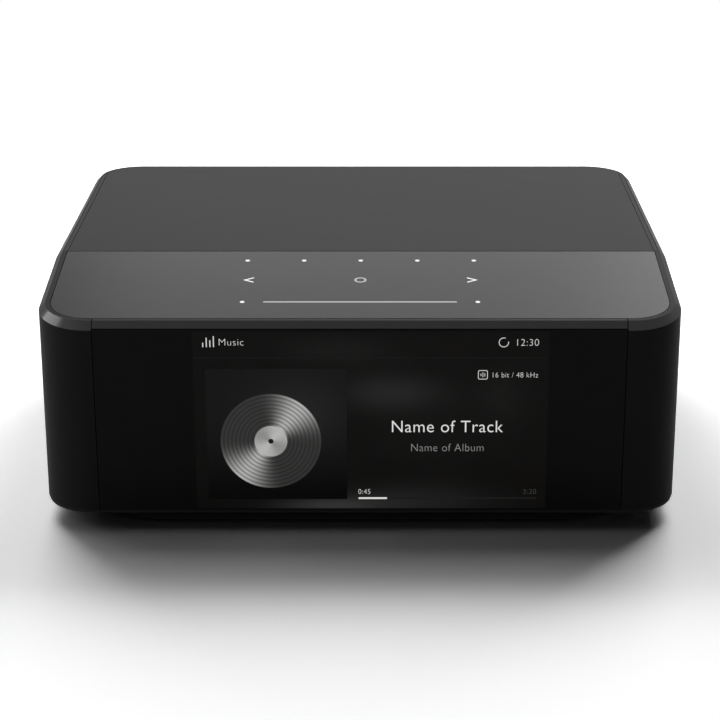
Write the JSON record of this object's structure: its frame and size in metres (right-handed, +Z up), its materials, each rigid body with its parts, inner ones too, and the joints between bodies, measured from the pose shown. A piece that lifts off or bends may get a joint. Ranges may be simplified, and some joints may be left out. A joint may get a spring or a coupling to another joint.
{
  "type": "network music streamer",
  "caption": "Low desktop music streamer with a sloping touch-glass top, black display front, wrap-round cheeks, recessed plinth and a socketed rear panel.",
  "frame": {"origin": "on the table, under the middle of the footprint", "axes": "+X to the right seen from the front, +Y to the rear panel, +Z up"},
  "size_m": [0.22, 0.193, 0.0835],
  "materials": {
    "dark_casing": "fine matte black anodising",
    "trim_finish": "satin black anodising",
    "black_glass": "gloss black glass",
    "touch_black": "satin etched dark glass",
    "cover_finish": "fine matte dark grey paint",
    "steel_sheet": "plated sheet",
    "panel_finish": "matte black paint",
    "black_moulding": "matte moulded",
    "base_rubber": "soft matte rubber",
    "foam_black": "closed foam",
    "display_face": "dark display glass",
    "ribbon_film": "amber film",
    "circuit_board": "green solder mask",
    "chip_black": "moulded resin",
    "clear_guide": "frosted clear moulding",
    "spacer_brass": "turned brass",
    "bare_aluminium": "extruded",
    "cream_moulding": "moulded nylon",
    "port_shell": "plated steel",
    "capacitor_sleeve": "shrink sleeve",
    "core_grey": "sintered ferrite",
    "winding_tape": "yellow tape",
    "choke_copper": "enamelled copper",
    "contact_gold": "gold plated",
    "insulator_white": "moulded insulator",
    "pin_silver": "silver plated",
    "screw_steel": "zinc plated",
    "screw_black": "black oxide"
  },
  "bodies": {
    "casing": {"side_cheek_left": "dark_casing", "side_cheek_right": "dark_casing", "front_trim": "trim_finish", "front_glass": "black_glass", "touch_glass": "touch_black", "top_cover": "cover_finish", "cross_bar": "bare_aluminium", "rear_panel": "panel_finish", "bottom_plate": "steel_sheet", "plinth": "black_moulding", "base_pad": "base_rubber", "display_gasket": "foam_black", "display_cell": "display_face", "display_tray": "steel_sheet", "display_bracket": "steel_sheet", "glass_pads": "foam_black", "display_ribbon": "ribbon_film", "touch_board": "circuit_board", "light_guide": "clear_guide", "touch_ribbon": "ribbon_film", "main_board": "circuit_board", "main_standoffs": "spacer_brass", "processor": "chip_black", "heat_sink": "bare_aluminium", "board_chips": "chip_black", "board_connectors": "cream_moulding", "radio_module": "port_shell", "antenna_boards": "circuit_board", "audio_board": "circuit_board", "audio_spacers": "spacer_brass", "audio_chips": "chip_black", "audio_capacitors": "capacitor_sleeve", "power_board": "circuit_board", "power_standoffs": "spacer_brass", "transformer_core": "core_grey", "transformer_winding": "winding_tape", "power_capacitors": "capacitor_sleeve", "power_choke": "choke_copper", "heat_bracket": "bare_aluminium", "mains_inlet": "black_moulding", "mains_pins": "pin_silver", "network_jack": "port_shell", "network_contacts": "contact_gold", "data_port_large": "port_shell", "data_port_small": "port_shell", "av_port": "port_shell", "port_tongues": "chip_black", "mini_jacks": "black_moulding", "phono_block": "black_moulding", "phono_shells": "contact_gold", "phono_insulators": "insulator_white", "balanced_sockets": "panel_finish", "balanced_pins": "pin_silver", "optical_socket": "black_moulding", "headphone_jacks": "black_moulding", "headphone_rings": "trim_finish", "cheek_screws": "screw_steel", "panel_screws": "screw_black", "board_screws": "screw_steel"},
    "shutter": {"optical_shutter": "chip_black"}
  },
  "joints": [
    {"name": "shutter_swing", "type": "hinge", "parent": "casing", "child": "shutter", "pos_m": [-0.0515, 0.0846, 0.0568], "axis": [-1, 0, 0], "range_deg": [0, 80], "stiffness_Nm_per_rad": 0.0002, "springref_deg": -17.19}
  ]
}
